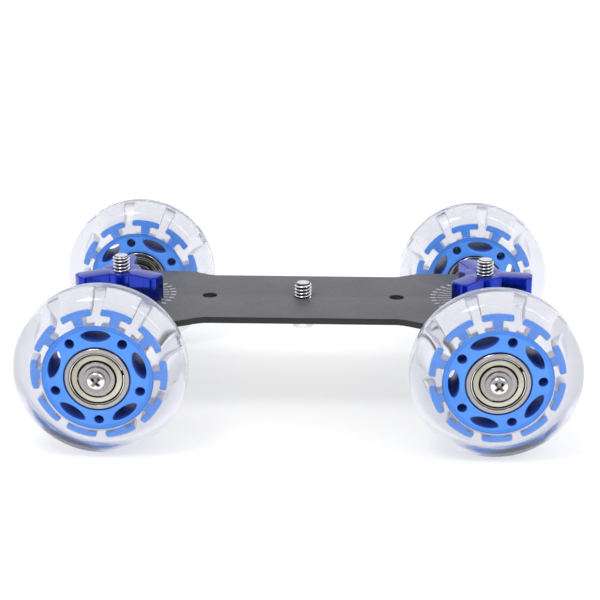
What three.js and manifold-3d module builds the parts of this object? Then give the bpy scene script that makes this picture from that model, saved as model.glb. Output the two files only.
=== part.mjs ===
// Camera skater dolly: a flat waisted plate on two steered trucks, each carrying two clear skate wheels.
// X runs along the plate, Y along the axles and Z up. The origin is on the floor under the plate's middle.
// All lengths are in millimetres.
import * as THREE from "three";
import { mergeVertices } from "three/addons/utils/BufferGeometryUtils.js";
import Module from "manifold-3d";

const wasm = await Module();
wasm.setup();

// Layout
const pivot_spacing = 136.4; // between the two steering pivots
const track_width = 108; // between the middle planes of a truck's two wheels

// Plate
const plate_thickness = 2.5;
const plate_end_width = 58;
const plate_waist_width = 48.4;
const plate_waist_length = 68;
const plate_shoulder_length = 13; // the sweep from the waist out to the full width
const plate_end_overhang = 8; // past the pivot
const plate_corner_cut = 8;
const accessory_hole_spacing = 70.5;
const accessory_hole_diameter = 5.5;

// Tyre
const tyre_depth = 10.85; // from the hub's rim out to the tread
const tyre_width = 20;
const tyre_tread_width = 4; // the band that is flat across
const tyre_side_height = 2.35; // from the hub's rim out to where the tyre is widest
const tyre_bore_width = 19.7;
const tyre_crown_power = 2.2; // 2 is an ellipse, and more is squarer

// Hub
const hub_rim_diameter = 38.3;
const hub_rim_width = 18;
const hub_lip_wall = 1.5; // round each bearing
const hub_lip_width = 20.4;
const hub_shoulder_height = 1.2; // of the shoulder between the two bearing seats
const tooth_count = 10;
const tooth_height = 4.2; // above the rim
const tooth_bar_thickness = 2;
const tooth_bar_length = 10.7;
const tooth_stem_width = 3.4;
const tooth_depth = 9.4;
const web_hole_count = 5;
const web_hole_diameter = 3.3;
const web_slot_length = 10.2;
const web_slot_width = 3.9;
const web_inner_wall = 2.25; // between a bearing seat and the nearest part of a slot

// Bearings, the 8 x 22 x 7 size
const bearing_bore = 8;
const bearing_diameter = 22;
const bearing_width = 7;
const bearing_face_spacing = 21; // over the outer faces of a wheel's two bearings
const inner_ring_wall = 2.2;
const outer_ring_wall = 1.3;
const shield_thickness = 0.5;
const shield_inset = 0.35;
const ball_count = 7;
const ball_diameter = 3.97;
const cage_thickness = 0.7;
const cage_width = 2.2;
const spacer_wall = 1.3;

// Truck
const axle_bar_length = 58;
const axle_bar_width = 15;
const axle_bar_height = 12;
const axle_boss_step = 0.1; // each side, from the bar's height down to the round boss
const axle_end_inset = 0.4; // the axle stops short of the bearing, so the screw clamps the inner ring
const bolt_groove_width = 7;
const bolt_groove_depth = 4.4;

// Axle screws and washers
const axle_screw_diameter = 4;
const axle_screw_length = 10;
const axle_screw_head_diameter = 7;
const axle_screw_head_height = 2.2;
const axle_screw_head_edge = 0.7; // the straight side below the head's dome
const cross_recess_length = 3.8;
const cross_recess_width = 0.9;
const cross_recess_depth = 1.3;
const axle_washer_diameter = 9.2;
const axle_washer_thickness = 0.8;
const axle_hole_depth = 13;

// Quarter-inch, 20 turns per inch threads
const thread_diameter = 6.35;
const thread_pitch = 1.27;
const thread_depth = 0.7;
const thread_tip_chamfer = 0.9;

// Pivot bolts and lock knobs
const bolt_head_length = 12.5;
const bolt_head_height = 3.8;
const bolt_thread_length = 7;
const bolt_reach = 5.3; // above the knob
const knob_washer_diameter = 16;
const knob_washer_thickness = 0.8;
const knob_height = 9.3;
const knob_hub_diameter = 14.6;
const knob_arm_count = 3;
const knob_arm_length = 17.7;
const knob_arm_width = 7.4;
const knob_tip_width = 4.4;
const knob_tip_chamfer = 1.7;

// Camera screw under the plate's middle
const camera_screw_reach = 5.5; // above the plate
const camera_screw_head_diameter = 8.4;
const camera_screw_head_height = 2.8;
const camera_screw_slot_width = 1.4;
const camera_screw_slot_depth = 1.2;
const camera_nut_across_flats = 11.1;
const camera_nut_height = 5;
const nut_sides = 6;
const lock_washer_diameter = 11.6;
const lock_washer_thickness = 1.2;

// Clearances
const slip_clearance = 0.05; // each side, between pieces that stay together
const bolt_clearance = 0.15; // each side, round a bolt
const slide_clearance = 0.1; // between the plate and a bar that turns under it
const bond_gap = 0.2; // between the hub and the tyre moulded on it
const shield_gap = 0.35; // between a shield and the inner ring that turns in it
const race_clearance = 0.1; // between the balls and the rings
const cut_overrun = 1;
const merge_distance = 0.0005;

// Rest position: shares of a turn of each knob, seen from above, and facets of tread of each wheel,
// seen from the front
const left_knob_turn_share = 0.25;
const right_knob_turn_share = 0.306;
const wheel_turn_facets = { front_left: 0, front_right: 1, rear_left: -2, rear_right: -1 };

// Facets
const tyre_facets = 24;
const round_facets = 12;
const crown_steps = 3;
const web_hole_facets = 8;
const slot_steps = 4;
const shoulder_steps = 5;
const hub_arc_steps = 3;

// Derived sizes
const hub_rim_radius = hub_rim_diameter / 2;
const tyre_radius = hub_rim_radius + tyre_depth;
const axle_height = tyre_radius;
const plate_underside = axle_height + axle_bar_height / 2 + slide_clearance;
const plate_top = plate_underside + plate_thickness;
const web_circle_radius = bearing_diameter / 2 + web_inner_wall + web_slot_width / 2;
const axle_boss_radius = axle_bar_height / 2 - axle_boss_step;
const bearing_centre = (bearing_face_spacing - bearing_width) / 2;
const inner_ring_radius = bearing_bore / 2 + inner_ring_wall;
const spacer_length = bearing_face_spacing - 2 * bearing_width;
const ball_circle_radius = (bearing_bore + bearing_diameter) / 4;
const thread_radius = thread_diameter / 2;
const bolt_hole_radius = thread_radius + bolt_clearance;
const knob_underside = plate_top + knob_washer_thickness;
const knob_top = knob_underside + knob_height;
const facet_start = Math.PI / tyre_facets; // turns a flat facet to the bottom

const colours = {
  plate: { color: 0x2b2b2f, roughness: 0.5, metalness: 0.6 },
  bar: { color: 0x18181a, roughness: 0.45, metalness: 0.6 },
  steel: { color: 0xc8c8cc, roughness: 0.25, metalness: 1 },
  shield: { color: 0xc9c3a4, roughness: 0.3, metalness: 1 },
  knob: { color: 0x1c2fc0, roughness: 0.3, metalness: 0.7 },
  hub: { color: 0x3f8de8, roughness: 0.4, metalness: 0 },
  tyre: { color: 0xdfe8f2, roughness: 0.15, metalness: 0, transparent: true, opacity: 0.5 },
};

// A closed geometry as a solid that can be joined and cut.
function solidOf(geometry) {
  const bare = geometry.clone();
  bare.deleteAttribute("normal");
  bare.deleteAttribute("uv");
  const merged = mergeVertices(bare, merge_distance);
  const mesh = new wasm.Mesh({
    numProp: 3,
    vertProperties: merged.attributes.position.array,
    triVerts: new Uint32Array(merged.index.array),
  });
  return new wasm.Manifold(mesh);
}

// A solid as a geometry with flat faces.
function geometryOf(solid) {
  const mesh = solid.getMesh();
  const indexed = new THREE.BufferGeometry();
  indexed.setAttribute("position", new THREE.BufferAttribute(mesh.vertProperties, 3));
  indexed.setIndex(new THREE.BufferAttribute(mesh.triVerts, 1));
  const flat = indexed.toNonIndexed();
  flat.computeVertexNormals();
  return flat;
}

// A closed profile of [radius, height] pairs turned round the Y axis. It runs anticlockwise.
function turned(profile, facets = round_facets) {
  const points = profile.map(([radius, height]) => new THREE.Vector2(radius, height));
  points.push(points[0].clone());
  return new THREE.LatheGeometry(points, facets, facet_start);
}

// The same [radius, height] pairs below the middle, in the order that closes the profile.
function mirrored(profile) {
  return [...profile].reverse().map(([radius, height]) => [radius, -height]);
}

// A closed profile turned round the Z axis.
function turnedUpright(profile, facets = round_facets) {
  return turned(profile, facets).rotateX(Math.PI / 2);
}

// A plain ring of the given radii between two heights, on the Y axis.
function ring(inner, outer, low, high, facets = round_facets) {
  const profile = [[inner, low], [outer, low], [outer, high], [inner, high]];
  return turned(profile, facets);
}

// A box between two corners.
function boxBetween(low, high) {
  const size = high.map((value, i) => value - low[i]);
  const middle = high.map((value, i) => (value + low[i]) / 2);
  return new THREE.BoxGeometry(...size).translate(...middle);
}

// A flat outline pushed up along Z from a height.
function extruded(shape, low, height) {
  const options = { depth: height, bevelEnabled: false, curveSegments: round_facets / 2 };
  return new THREE.ExtrudeGeometry(shape, options).translate(0, 0, low);
}

function circlePath(x, y, radius) {
  return new THREE.Path().absarc(x, y, radius, 0, 2 * Math.PI);
}

function polar(radius, angle) {
  return new THREE.Vector2(radius * Math.cos(angle), radius * Math.sin(angle));
}

function addPiece(group, name, geometry, colour) {
  const material = new THREE.MeshStandardMaterial(colours[colour]);
  material.name = colour;
  const mesh = new THREE.Mesh(geometry, material);
  mesh.name = name;
  group.add(mesh);
}

// Plate

function plateOutline() {
  const waist_x = plate_waist_length / 2;
  const shoulder_x = waist_x + plate_shoulder_length;
  const end_x = pivot_spacing / 2 + plate_end_overhang;
  const waist_y = plate_waist_width / 2;
  const end_y = plate_end_width / 2;
  const quarter = [];
  for (let i = 0; i <= shoulder_steps; i += 1) {
    const along = i / shoulder_steps;
    const rise = (1 - Math.cos(Math.PI * along)) / 2;
    quarter.push([waist_x + (shoulder_x - waist_x) * along, waist_y + (end_y - waist_y) * rise]);
  }
  quarter.push([end_x - plate_corner_cut, end_y], [end_x, end_y - plate_corner_cut]);
  const back = [...quarter].reverse();
  const points = [
    ...back,
    ...quarter.map(([x, y]) => [-x, y]),
    ...back.map(([x, y]) => [-x, -y]),
    ...quarter.map(([x, y]) => [x, -y]),
  ];
  return new THREE.Shape(points.map(([x, y]) => new THREE.Vector2(x, y)));
}

function plateGeometry() {
  const shape = plateOutline();
  shape.holes.push(circlePath(0, 0, bolt_hole_radius));
  for (const side of [-1, 1]) {
    shape.holes.push(circlePath((side * pivot_spacing) / 2, 0, bolt_hole_radius));
    shape.holes.push(circlePath((side * accessory_hole_spacing) / 2, 0, accessory_hole_diameter / 2));
  }
  return extruded(shape, plate_underside, plate_thickness);
}

// Threads: the outline of a threaded rod from a low to a high end, as [radius, height] pairs.

function threadProfile(low, high) {
  const root = thread_radius - thread_depth;
  const top = high - thread_tip_chamfer;
  const turns = Math.max(1, Math.floor((top - low) / thread_pitch));
  const profile = [];
  for (let i = 0; i < turns; i += 1) {
    const start = low + i * thread_pitch;
    profile.push([root, start], [thread_radius, start + thread_pitch / 2]);
  }
  profile.push([root, low + turns * thread_pitch], [thread_radius - thread_depth / 2, top]);
  profile.push([thread_radius - thread_tip_chamfer, high]);
  return profile;
}

// Camera screw, its nut and its lock washer

function cameraScrewGeometry() {
  const head_top = plate_underside - camera_nut_height - lock_washer_thickness;
  const head_low = head_top - camera_screw_head_height;
  const thread_high = plate_top + camera_screw_reach;
  const thread_low = plate_top;
  const head_radius = camera_screw_head_diameter / 2;
  const body = solidOf(
    turnedUpright([
      [0, head_low],
      [head_radius, head_low],
      [head_radius, head_top],
      [thread_radius, head_top],
      [thread_radius, thread_low - thread_depth],
      ...threadProfile(thread_low, thread_high),
      [0, thread_high],
    ]),
  );
  const slot = boxBetween(
    [-head_radius - cut_overrun, -camera_screw_slot_width / 2, head_low - cut_overrun],
    [head_radius + cut_overrun, camera_screw_slot_width / 2, head_low + camera_screw_slot_depth],
  );
  return geometryOf(body.subtract(solidOf(slot)));
}

function cameraNutGeometry() {
  const corner = camera_nut_across_flats / 2 / Math.cos(Math.PI / nut_sides);
  const corners = Array.from({ length: nut_sides }, (_, i) => polar(corner, (i * 2 * Math.PI) / nut_sides));
  const shape = new THREE.Shape(corners);
  shape.holes.push(circlePath(0, 0, bolt_hole_radius));
  return extruded(shape, plate_underside - camera_nut_height, camera_nut_height);
}

function lockWasherGeometry() {
  const high = plate_underside - camera_nut_height;
  const outer = lock_washer_diameter / 2;
  const low = high - lock_washer_thickness;
  return ring(bolt_hole_radius, outer, low, high).rotateX(Math.PI / 2);
}

// Trucks: everything in a truck is built round its pivot, at X = 0.

function axleBarGeometry() {
  const half_width = axle_bar_width / 2;
  const half_length = axle_bar_length / 2;
  const low = axle_height - axle_bar_height / 2;
  const high = axle_height + axle_bar_height / 2;
  const boss_end = (track_width - bearing_face_spacing) / 2;
  const axle_end = (track_width + bearing_face_spacing) / 2 - axle_end_inset;
  const axle_radius = bearing_bore / 2 - slip_clearance;
  const hole_radius = axle_screw_diameter / 2 + slip_clearance;
  let bar = solidOf(boxBetween([-half_width, -half_length, low], [half_width, half_length, high]));
  const journal = turned([
    [0, 0],
    [axle_boss_radius, 0],
    [axle_boss_radius, boss_end],
    [axle_radius, boss_end],
    [axle_radius, axle_end],
    [hole_radius, axle_end],
    [hole_radius, axle_end - axle_hole_depth],
    [0, axle_end - axle_hole_depth],
  ]);
  journal.translate(0, 0, axle_height);
  for (const turn of [0, Math.PI]) {
    bar = bar.add(solidOf(journal.clone().rotateZ(turn)));
  }
  const groove = boxBetween(
    [-half_width - cut_overrun, -bolt_groove_width / 2, low - cut_overrun],
    [half_width + cut_overrun, bolt_groove_width / 2, low + bolt_groove_depth],
  );
  const hole = turnedUpright([
    [0, low],
    [bolt_hole_radius, low],
    [bolt_hole_radius, high + cut_overrun],
    [0, high + cut_overrun],
  ]);
  return geometryOf(bar.subtract(solidOf(groove)).subtract(solidOf(hole)));
}

function pivotBoltGeometry() {
  const seat = axle_height - axle_bar_height / 2 + bolt_groove_depth;
  const head_low = seat - bolt_head_height;
  const high = knob_top + bolt_reach;
  const thread_low = high - bolt_thread_length;
  const half_width = bolt_groove_width / 2 - slip_clearance;
  const shank = turnedUpright([
    [0, head_low],
    [thread_radius, head_low],
    [thread_radius, thread_low - thread_depth],
    ...threadProfile(thread_low, high),
    [0, high],
  ]);
  const head = boxBetween(
    [-bolt_head_length / 2, -half_width, head_low],
    [bolt_head_length / 2, half_width, seat - slip_clearance],
  );
  return geometryOf(solidOf(shank).add(solidOf(head)));
}

function knobWasherGeometry() {
  const outer = knob_washer_diameter / 2;
  return ring(bolt_hole_radius, outer, plate_top, knob_underside).rotateX(Math.PI / 2);
}

// Three square arms with cut tips on a round hub.
function knobGeometry() {
  const hub_radius = knob_hub_diameter / 2;
  const half_arm = knob_arm_width / 2;
  const half_tip = knob_tip_width / 2;
  const root_angle = Math.asin(half_arm / hub_radius);
  const points = [];
  const spacing = (2 * Math.PI) / knob_arm_count;
  for (let arm = 0; arm < knob_arm_count; arm += 1) {
    const turn = arm * spacing;
    const arm_points = [
      [hub_radius * Math.cos(root_angle), -half_arm],
      [knob_arm_length - knob_tip_chamfer, -half_arm],
      [knob_arm_length, -half_tip],
      [knob_arm_length, half_tip],
      [knob_arm_length - knob_tip_chamfer, half_arm],
    ];
    for (const [along, across] of arm_points) {
      points.push(new THREE.Vector2(along, across).rotateAround(new THREE.Vector2(), turn));
    }
    const gap_angle = spacing - 2 * root_angle;
    for (let i = 0; i < hub_arc_steps; i += 1) {
      points.push(polar(hub_radius, turn + root_angle + (gap_angle * i) / hub_arc_steps));
    }
  }
  const shape = new THREE.Shape(points);
  shape.holes.push(circlePath(0, 0, bolt_hole_radius));
  return extruded(shape, knob_underside, knob_height);
}

// Wheels: everything in a wheel is built round the origin, with its axle along Y and its outer face at +Y.

// One T-shaped tooth, pointing along X. The outline is grown on every side for the pocket it sits in.
function toothOutline(grow) {
  const bar_outer = hub_rim_radius + tooth_height + grow;
  const bar_inner = bar_outer - tooth_bar_thickness - 2 * grow;
  const half_bar = tooth_bar_length / 2 + grow;
  const half_stem = tooth_stem_width / 2 + grow;
  const root = hub_rim_radius - 2 * bond_gap;
  const end_outer = Math.sqrt(bar_outer ** 2 - half_bar ** 2);
  const end_inner = Math.sqrt(bar_inner ** 2 - half_bar ** 2);
  const half = [
    [root, half_stem],
    [bar_inner, half_stem],
    [end_inner, half_bar],
    [end_outer, half_bar],
  ];
  const outline = [...half.map(([x, y]) => [x, -y]), [bar_outer, 0], ...half.reverse()];
  return new THREE.Shape(outline.map(([x, y]) => new THREE.Vector2(x, y)));
}

// An outline that is drawn in the wheel's plane, pushed through the wheel along Y about its middle.
function throughWheel(shape, depth) {
  const options = { depth, bevelEnabled: false, curveSegments: web_hole_facets / 2 };
  return new THREE.ExtrudeGeometry(shape, options).translate(0, 0, -depth / 2).rotateX(Math.PI / 2);
}

function teeth(grow) {
  const tooth = throughWheel(toothOutline(grow), tooth_depth + 2 * grow);
  const solids = [];
  for (let i = 0; i < tooth_count; i += 1) {
    solids.push(solidOf(tooth.clone().rotateY((i * 2 * Math.PI) / tooth_count)));
  }
  return solids;
}

// A lens-shaped opening between two arcs, centred on the web's hole circle and across +Z.
function webSlotShape() {
  const half_length = web_slot_length / 2;
  const half_width = web_slot_width / 2;
  const radius = (half_length ** 2 + half_width ** 2) / (2 * half_width);
  const half_angle = Math.asin(half_length / radius);
  const points = [];
  for (const side of [1, -1]) {
    for (let i = 0; i < slot_steps; i += 1) {
      const angle = half_angle - (2 * half_angle * i) / slot_steps;
      const across = side * (radius * Math.cos(angle) - radius + half_width);
      points.push(new THREE.Vector2(side * radius * Math.sin(angle), across + web_circle_radius));
    }
  }
  return new THREE.Shape(points.reverse());
}

function hubGeometry() {
  const seat = bearing_diameter / 2 + slip_clearance;
  const lip = bearing_diameter / 2 + hub_lip_wall;
  const shoulder = bearing_diameter / 2 - hub_shoulder_height;
  const body = turned(
    [
      [shoulder, -spacer_length / 2],
      [seat, -spacer_length / 2],
      [seat, -hub_lip_width / 2],
      [lip, -hub_lip_width / 2],
      [hub_rim_radius, -hub_rim_width / 2],
      [hub_rim_radius, hub_rim_width / 2],
      [lip, hub_lip_width / 2],
      [seat, hub_lip_width / 2],
      [seat, spacer_length / 2],
      [shoulder, spacer_length / 2],
    ],
    tyre_facets,
  );
  let hub = solidOf(body);
  for (const tooth of teeth(0)) {
    hub = hub.add(tooth);
  }
  const cut_depth = hub_lip_width + 2 * cut_overrun;
  const hole_shape = new THREE.Shape();
  hole_shape.absarc(0, web_circle_radius, web_hole_diameter / 2, 0, 2 * Math.PI);
  const hole = throughWheel(hole_shape, cut_depth);
  const slot = throughWheel(webSlotShape(), cut_depth);
  // The web has a round hole below the axle and a slot above it, each repeated round the wheel.
  for (let i = 0; i < web_hole_count; i += 1) {
    const turn = (i * 2 * Math.PI) / web_hole_count;
    hub = hub.subtract(solidOf(hole.clone().rotateY(turn + Math.PI)));
    hub = hub.subtract(solidOf(slot.clone().rotateY(turn)));
  }
  return geometryOf(hub);
}

// The outline of half the tread, from the flat band down to its widest place.
function crownPoints() {
  const across_flats = Math.cos(Math.PI / tyre_facets);
  const half_flat = tyre_tread_width / 2;
  const side_radius = hub_rim_radius + tyre_side_height;
  const points = [];
  for (let i = 0; i <= crown_steps; i += 1) {
    const angle = ((Math.PI / 2) * i) / crown_steps;
    const out = half_flat + (tyre_width / 2 - half_flat) * Math.sin(angle) ** (2 / tyre_crown_power);
    const up = side_radius + (tyre_radius - side_radius) * Math.cos(angle) ** (2 / tyre_crown_power);
    points.push([up / across_flats, out]);
  }
  return points;
}

function tyreGeometry() {
  const half = crownPoints();
  const bore = hub_rim_radius + bond_gap;
  const profile = [
    [bore, -tyre_bore_width / 2],
    ...mirrored(half),
    ...half,
    [bore, tyre_bore_width / 2],
  ];
  let tyre = solidOf(turned(profile, tyre_facets));
  for (const tooth of teeth(bond_gap)) {
    tyre = tyre.subtract(tooth);
  }
  return geometryOf(tyre);
}

// The outer ring of a bearing with a shield pressed into each side.
function outerRingGeometry() {
  const outer = bearing_diameter / 2;
  const bore = outer - outer_ring_wall;
  const race_radius = ball_circle_radius + ball_diameter / 2 + race_clearance;
  const race = race_radius / Math.cos(Math.PI / round_facets);
  const shield_bore = inner_ring_radius + shield_gap;
  const face = bearing_width / 2;
  const shield_out = face - shield_inset;
  const shield_in = shield_out - shield_thickness;
  const half = [
    [bore, face],
    [shield_bore, shield_out],
    [shield_bore, shield_in],
    [race, shield_in],
  ];
  return turned([[outer, -face], [outer, face], ...half, ...mirrored(half)]);
}

function innerRingGeometry() {
  const bore = bearing_bore / 2;
  const land = inner_ring_radius;
  const face = bearing_width / 2;
  const ball_radius = ball_diameter / 2;
  const race = ball_circle_radius - ball_radius - race_clearance;
  const half = [[land, ball_radius], [land, face], [bore, face]];
  return turned([...mirrored(half), [race, 0], ...half]);
}

// The balls in their cage, joined as one piece, with a ball on each corner of the cage.
function ballCageGeometry() {
  const half = cage_thickness / 2;
  const inner = ball_circle_radius - half;
  const outer = ball_circle_radius + half;
  let cage = solidOf(ring(inner, outer, -cage_width / 2, cage_width / 2, ball_count));
  for (let i = 0; i < ball_count; i += 1) {
    const angle = (i * 2 * Math.PI) / ball_count - facet_start + Math.PI / 2;
    const place = polar(ball_circle_radius, angle);
    const ball = new THREE.IcosahedronGeometry(ball_diameter / 2, 0).translate(place.x, 0, place.y);
    cage = cage.add(solidOf(ball));
  }
  return geometryOf(cage);
}

function spacerGeometry() {
  const half = spacer_length / 2 - slip_clearance;
  return ring(bearing_bore / 2, bearing_bore / 2 + spacer_wall, -half, half);
}

function axleWasherGeometry() {
  const low = bearing_face_spacing / 2 + slip_clearance;
  const hole = axle_screw_diameter / 2 + bolt_clearance;
  return ring(hole, axle_washer_diameter / 2, low, low + axle_washer_thickness);
}

function axleScrewGeometry() {
  const seat = bearing_face_spacing / 2 + axle_washer_thickness + 2 * slip_clearance;
  const shank = axle_screw_diameter / 2;
  const head = axle_screw_head_diameter / 2;
  const high = seat + axle_screw_head_height;
  const edge = seat + axle_screw_head_edge;
  const dome = (edge + high) / 2;
  const body = turned([
    [0, seat - axle_screw_length],
    [shank, seat - axle_screw_length],
    [shank, seat],
    [head, seat],
    [head, edge],
    [head - (high - edge) / 2, dome + (high - dome) / 2],
    [head / 2, high],
    [0, high],
  ]);
  let screw = solidOf(body);
  const half_length = cross_recess_length / 2;
  const half_width = cross_recess_width / 2;
  const depth = high - cross_recess_depth;
  for (const turn of [Math.PI / 4, -Math.PI / 4]) {
    const blade = boxBetween(
      [-half_length, depth, -half_width],
      [half_length, high + cut_overrun, half_width],
    );
    screw = screw.subtract(solidOf(blade.rotateY(turn)));
  }
  return geometryOf(screw);
}

// Pieces that turn with the wheel, and pieces that the screw clamps to the axle.
const turning_pieces = [
  ["tyre", tyreGeometry(), "tyre"],
  ["hub", hubGeometry(), "hub"],
];
const clamped_pieces = [
  ["bearing_spacer", spacerGeometry(), "steel"],
  ["axle_washer", axleWasherGeometry(), "steel"],
  ["axle_screw", axleScrewGeometry(), "steel"],
];
for (const [place, side] of [["outer", 1], ["inner", -1]]) {
  const shift = side * bearing_centre;
  const outer_ring = outerRingGeometry().translate(0, shift, 0);
  const ball_cage = ballCageGeometry().translate(0, shift, 0);
  const inner_ring = innerRingGeometry().translate(0, shift, 0);
  turning_pieces.push([`${place}_bearing_outer_ring`, outer_ring, "shield"]);
  turning_pieces.push([`${place}_bearing_ball_cage`, ball_cage, "steel"]);
  clamped_pieces.push([`${place}_bearing_inner_ring`, inner_ring, "steel"]);
}

function wheelGroup(name, side) {
  const axle = new THREE.Group();
  for (const [piece, geometry, colour] of clamped_pieces) {
    addPiece(axle, `${name}_${piece}`, geometry, colour);
  }
  const wheel = new THREE.Group();
  for (const [piece, geometry, colour] of turning_pieces) {
    addPiece(wheel, `${name}_${piece}`, geometry, colour);
  }
  wheel.rotation.y = (-side * wheel_turn_facets[name] * 2 * Math.PI) / tyre_facets;
  axle.add(wheel);
  axle.rotation.z = side < 0 ? Math.PI : 0;
  axle.position.set(0, (side * track_width) / 2, axle_height);
  return axle;
}

function truckGroup(name, side, knob_turn_share) {
  const truck = new THREE.Group();
  addPiece(truck, `${name}_axle_bar`, axleBarGeometry(), "bar");
  addPiece(truck, `${name}_pivot_bolt`, pivotBoltGeometry(), "steel");
  addPiece(truck, `${name}_knob_washer`, knobWasherGeometry(), "steel");
  const knob = new THREE.Group();
  addPiece(knob, `${name}_lock_knob`, knobGeometry(), "knob");
  knob.rotation.z = 2 * Math.PI * knob_turn_share;
  truck.add(knob);
  truck.add(wheelGroup(`front_${name}`, -1));
  truck.add(wheelGroup(`rear_${name}`, 1));
  truck.position.x = (side * pivot_spacing) / 2;
  return truck;
}

const dolly = new THREE.Group();
addPiece(dolly, "base_plate", plateGeometry(), "plate");
addPiece(dolly, "camera_screw", cameraScrewGeometry(), "steel");
addPiece(dolly, "camera_screw_nut", cameraNutGeometry(), "steel");
addPiece(dolly, "camera_screw_lock_washer", lockWasherGeometry(), "steel");
dolly.add(truckGroup("left", -1, left_knob_turn_share));
dolly.add(truckGroup("right", 1, right_knob_turn_share));

export default dolly;
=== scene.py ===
"""Looks of a camera skater dolly: every piece is modelled finely in the place of its CAD node.

Lengths are millimetres until mesh_of() turns them into metres. Wheels are built round the origin with
their axle along Y and their outer face at +Y, and upright pieces round the Z axis.
"""

import math

import bmesh
import bpy
from mathutils import Matrix, Vector


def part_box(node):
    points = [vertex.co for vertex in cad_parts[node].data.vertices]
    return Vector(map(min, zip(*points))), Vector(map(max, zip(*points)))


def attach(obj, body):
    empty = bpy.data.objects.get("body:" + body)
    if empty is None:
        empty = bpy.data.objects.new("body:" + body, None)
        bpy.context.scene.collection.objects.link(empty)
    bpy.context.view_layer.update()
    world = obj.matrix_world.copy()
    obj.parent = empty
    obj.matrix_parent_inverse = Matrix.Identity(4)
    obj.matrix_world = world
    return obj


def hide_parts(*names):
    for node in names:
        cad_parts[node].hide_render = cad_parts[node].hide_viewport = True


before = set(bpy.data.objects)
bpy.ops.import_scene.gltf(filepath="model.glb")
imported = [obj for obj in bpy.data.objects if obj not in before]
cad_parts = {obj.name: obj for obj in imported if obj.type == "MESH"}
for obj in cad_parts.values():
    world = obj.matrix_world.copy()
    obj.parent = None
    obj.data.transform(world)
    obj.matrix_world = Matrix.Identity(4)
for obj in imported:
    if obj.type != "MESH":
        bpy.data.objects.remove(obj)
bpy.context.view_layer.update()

MM = 0.001
MERGE = 1e-4
SHARP = math.radians(32)
OVERRUN = 1.0
SLIP = 0.05
FULL_TURN = 2 * math.pi
LEAST_MITRE = 0.5
CORNER_SHARE = 0.49

SIDES = {"left": -1, "right": 1}
ENDS = {"front": -1, "rear": 1}
SEATS = {"outer": 1, "inner": -1}

# Turn of each wheel at rest, in degrees, anticlockwise as the front view shows it
WHEEL_TURNS = {"front_left": 0, "front_right": 20, "rear_left": -26, "rear_right": -7}
KNOB_TURNS = {"left": 90, "right": 110}

# Which of its piece's materials a face has. Tooth faces take a glowing lighter blue, a painted light; side,
# recess, root, land and dark faces take darker copies, a painted shade.
MAIN_FACES = 0
FROSTED_FACES = GLOWING_TOOTH_FACES = SHIELD_FACES = SHADED_LAND_FACES = SHADED_RECESS_FACES = SHADED_ROOT_FACES = SHADED_SIDE_FACES = 1
PAINTED_SHADE_FACES = 2
WIRE_FACES = 3

# How many flats a round piece has
BOLT_STEPS = 48
SMALL_STEPS = 64
RING_STEPS = 72
CAGE_STEPS = 84
BEARING_STEPS = 96
HUB_STEPS = 120
TYRE_STEPS = 240

# Tyre
RIM_RADIUS = 19.15
TYRE_RADIUS = 30.0
TYRE_WIDTH = 20.0
TREAD_WIDTH = 4.0
SIDE_RADIUS = 21.5
TYRE_BORE_WIDTH = 19.7
CROWN_POWER = 2.2
CROWN_STEPS = 40
POCKET_GAP = 0.06
FROST_FROM_BORE = 0.1
FROST_FROM_TOP = 0.15
FROST_FROM_END = 0.3

# Hub
RIM_WIDTH = 18.0
LIP_RADIUS = 12.5
LIP_WIDTH = 20.4
SHOULDER_RADIUS = 9.8
SEAT_GAP = 0.03
SEAT_GROOVE_WIDTH = 0.5
SEAT_GROOVE_DEPTH = 1.2
RIM_GROOVE_RADIUS = 17.72
RIM_GROOVE_WIDTH = 0.3
RIM_GROOVE_DEPTH = 0.2
TOOTH_COUNT = 10
TOOTH_OUTER_RADIUS = 23.35
TOOTH_BAR_THICKNESS = 2.0
TOOTH_BAR_LENGTH = 10.7
TOOTH_STEM_WIDTH = 3.4
TOOTH_DEPTH = 9.4
TOOTH_EDGE = 0.25
TOOTH_FILLET = 0.85
TOOTH_FILLET_ROOM = 2.1 * TOOTH_FILLET
TOOTH_ROOT_DEPTH = 1.5
ARC_STEPS = 6
WEB_COUNT = 5
WEB_CIRCLE_RADIUS = 15.2
WEB_HOLE_RADIUS = 1.65
WEB_HOLE_STEPS = 28
WEB_SLOT_LENGTH = 10.2
WEB_SLOT_WIDTH = 3.9
WEB_SLOT_POWER = 1.2
WEB_SLOT_STEPS = 40
WEB_EDGE = 0.45
WEB_EDGE_DEGREES = (30, 48, 68, 90)
# Teeth beyond this take a glowing lighter blue, a painted light.
TEETH_FROM_RIM = 0.1
# Walls of the web's holes, this far from the rim, the lip and the faces, take a painted shade.
HOLE_FROM_RIM = 0.3
HOLE_FROM_LIP = 0.1
HOLE_FROM_FACE = 0.4

# Bearings
BEARING_RADIUS = 11.0
BEARING_BORE_RADIUS = 4.0
BEARING_WIDTH = 7.0
BEARING_FACE_SPACING = 21.0
INNER_RING_RADIUS = 6.2
RACE_GAP = 0.1
BALL_CIRCLE_RADIUS = 7.5
BALL_RADIUS = 1.985
BALL_COUNT = 7
BALL_DETAIL = 3
CAGE_THICKNESS = 0.7
CAGE_WIDTH = 2.2
CAGE_EDGE = 0.15
SPACER_RADIUS = 5.3
SPACER_EDGE = 0.2
CLIP_RADIUS = 9.24
CLIP_WIRE_RADIUS = 0.2
CLIP_DEPTH = 0.4
CLIP_GAP_DEGREES = (158, 170)
CLIP_STEPS = 72
CLIP_WIRE_STEPS = 8

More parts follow.
